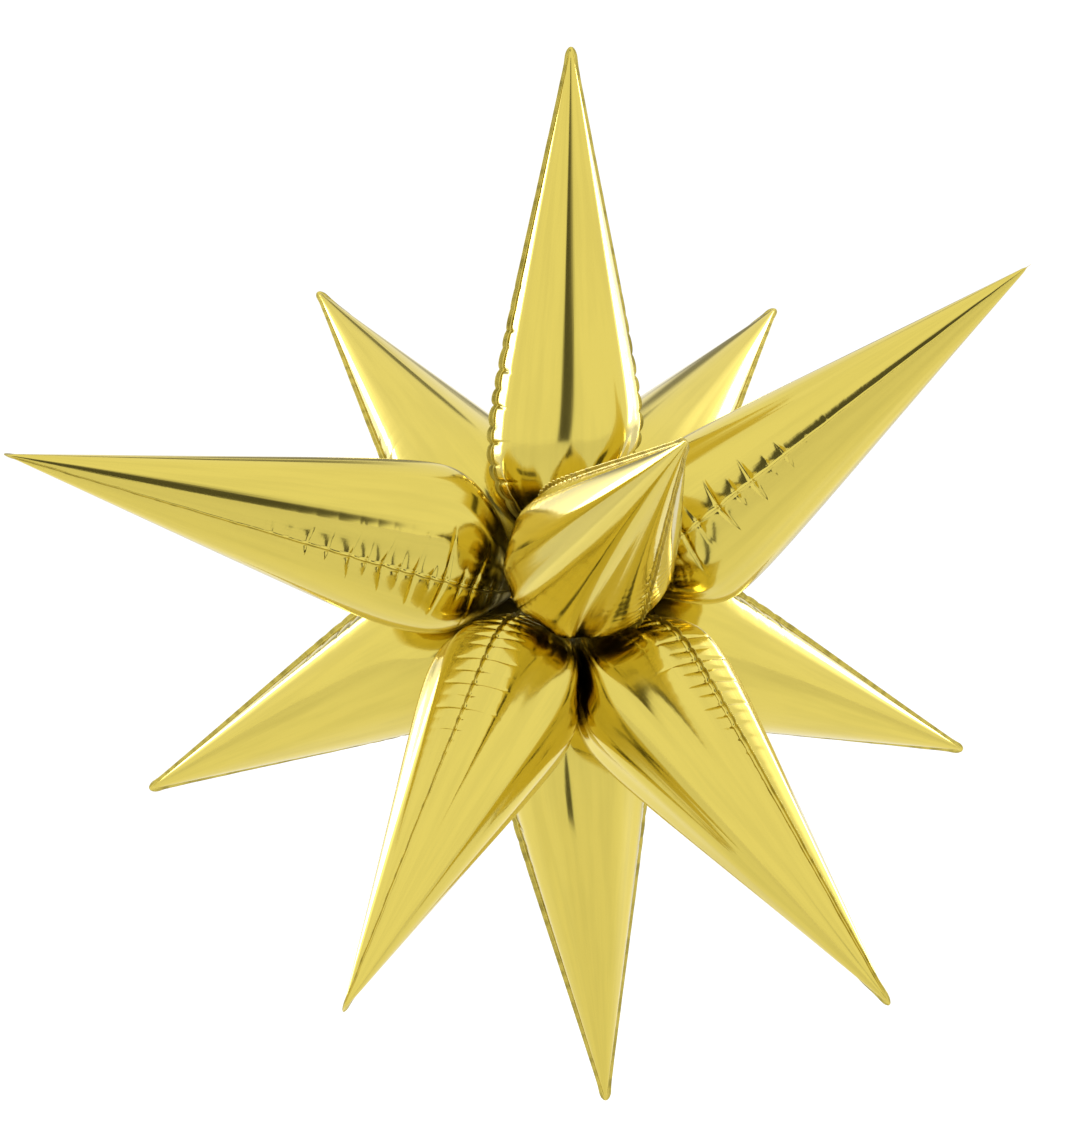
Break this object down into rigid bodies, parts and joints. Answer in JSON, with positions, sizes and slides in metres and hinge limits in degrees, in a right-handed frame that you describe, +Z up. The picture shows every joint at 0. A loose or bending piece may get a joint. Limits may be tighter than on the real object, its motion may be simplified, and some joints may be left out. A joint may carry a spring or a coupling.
{
  "type": "starburst foil balloon",
  "caption": "Hanging star of slim cone-shaped gold foil balloons that point out of one centre, strung by their tabs on a tie cord.",
  "frame": {"origin": "the knot of the tie cord, at the middle of the star", "axes": "+Z up as the star hangs, its front towards -Y"},
  "size_m": [0.8296, 0.9151, 0.9205],
  "materials": {
    "gold_foil": "mirror-bright gold metallised film",
    "valve_film": "clear film",
    "tie_cord": "twisted thread"
  },
  "bodies": {
    "tie": {"tie_knot": "tie_cord", "tie_cord": "tie_cord"},
    "front_spike": {"front_spike_panel_a": "gold_foil", "front_spike_panel_b": "gold_foil", "front_spike_valve": "valve_film"},
    "right_spike": {"right_spike_panel_a": "gold_foil", "right_spike_panel_b": "gold_foil", "right_spike_valve": "valve_film"},
    "top_spike": {"top_spike_panel_a": "gold_foil", "top_spike_panel_b": "gold_foil", "top_spike_valve": "valve_film"},
    "left_spike": {"left_spike_panel_a": "gold_foil", "left_spike_panel_b": "gold_foil", "left_spike_valve": "valve_film"},
    "lower_left_spike": {"lower_left_spike_panel_a": "gold_foil", "lower_left_spike_panel_b": "gold_foil", "lower_left_spike_valve": "valve_film"},
    "lower_right_spike": {"lower_right_spike_panel_a": "gold_foil", "lower_right_spike_panel_b": "gold_foil", "lower_right_spike_valve": "valve_film"},
    "rear_upper_right_spike": {"rear_upper_right_spike_panel_a": "gold_foil", "rear_upper_right_spike_panel_b": "gold_foil", "rear_upper_right_spike_valve": "valve_film"},
    "rear_upper_left_spike": {"rear_upper_left_spike_panel_a": "gold_foil", "rear_upper_left_spike_panel_b": "gold_foil", "rear_upper_left_spike_valve": "valve_film"},
    "rear_lower_left_spike": {"rear_lower_left_spike_panel_a": "gold_foil", "rear_lower_left_spike_panel_b": "gold_foil", "rear_lower_left_spike_valve": "valve_film"},
    "bottom_spike": {"bottom_spike_panel_a": "gold_foil", "bottom_spike_panel_b": "gold_foil", "bottom_spike_valve": "valve_film"},
    "rear_lower_right_spike": {"rear_lower_right_spike_panel_a": "gold_foil", "rear_lower_right_spike_panel_b": "gold_foil", "rear_lower_right_spike_valve": "valve_film"},
    "rear_spike": {"rear_spike_panel_a": "gold_foil", "rear_spike_panel_b": "gold_foil", "rear_spike_valve": "valve_film"}
  },
  "joints": [
    {"name": "front_swing", "type": "hinge", "parent": "tie", "child": "front_spike", "pos_m": [0.00446, -0.02295, 0.0054], "axis": [0.7999, 0.2803, 0.5307], "range_deg": [-1.5, 1.5], "stiffness_Nm_per_rad": 2},
    {"name": "right_swing", "type": "hinge", "parent": "tie", "child": "right_spike", "pos_m": [0.01886, -0.00668, 0.01325], "axis": [0.5744, -0.001, -0.8186], "range_deg": [-1.5, 1.5], "stiffness_Nm_per_rad": 2},
    {"name": "top_swing", "type": "hinge", "parent": "tie", "child": "top_spike", "pos_m": [0.00049, -0.00182, 0.02393], "axis": [0.2071, -0.9752, -0.0784], "range_deg": [-1.5, 1.5], "stiffness_Nm_per_rad": 2},
    {"name": "left_swing", "type": "hinge", "parent": "tie", "child": "left_spike", "pos_m": [-0.02213, -0.00741, 0.0056], "axis": [0.3347, -0.3336, 0.8813], "range_deg": [-1.5, 1.5], "stiffness_Nm_per_rad": 2},
    {"name": "lower_left_swing", "type": "hinge", "parent": "tie", "child": "lower_left_spike", "pos_m": [-0.00814, -0.01633, -0.01559], "axis": [-0.9292, 0.3498, 0.119], "range_deg": [-1.5, 1.5], "stiffness_Nm_per_rad": 2},
    {"name": "lower_right_swing", "type": "hinge", "parent": "tie", "child": "lower_right_spike", "pos_m": [0.01294, -0.01228, -0.01606], "axis": [-0.7622, -0.6344, -0.129], "range_deg": [-1.5, 1.5], "stiffness_Nm_per_rad": 2},
    {"name": "rear_upper_right_swing", "type": "hinge", "parent": "tie", "child": "rear_upper_right_spike", "pos_m": [0.01057, 0.01628, 0.01411], "axis": [-0.033, 0.6666, -0.7447], "range_deg": [-1.5, 1.5], "stiffness_Nm_per_rad": 2},
    {"name": "rear_upper_left_swing", "type": "hinge", "parent": "tie", "child": "rear_upper_left_spike", "pos_m": [-0.01177, 0.0148, 0.01478], "axis": [0.0166, -0.6998, 0.7142], "range_deg": [-1.5, 1.5], "stiffness_Nm_per_rad": 2},
    {"name": "rear_lower_left_swing", "type": "hinge", "parent": "tie", "child": "rear_lower_left_spike", "pos_m": [-0.01939, 0.01075, -0.00918], "axis": [0.3241, 0.8804, 0.3461], "range_deg": [-1.5, 1.5], "stiffness_Nm_per_rad": 2},
    {"name": "bottom_swing", "type": "hinge", "parent": "tie", "child": "bottom_spike", "pos_m": [0.0021, 0.00627, -0.02307], "axis": [-0.1416, 0.9584, 0.2477], "range_deg": [-1.5, 1.5], "stiffness_Nm_per_rad": 2},
    {"name": "rear_lower_right_swing", "type": "hinge", "parent": "tie", "child": "rear_lower_right_spike", "pos_m": [0.01925, 0.01226, -0.00742], "axis": [0.4082, -0.8469, -0.3408], "range_deg": [-1.5, 1.5], "stiffness_Nm_per_rad": 2},
    {"name": "rear_swing", "type": "hinge", "parent": "tie", "child": "rear_spike", "pos_m": [-0.00122, 0.02326, -0.00581], "axis": [0.3297, 0.2449, 0.9118], "range_deg": [-1.5, 1.5], "stiffness_Nm_per_rad": 2}
  ]
}
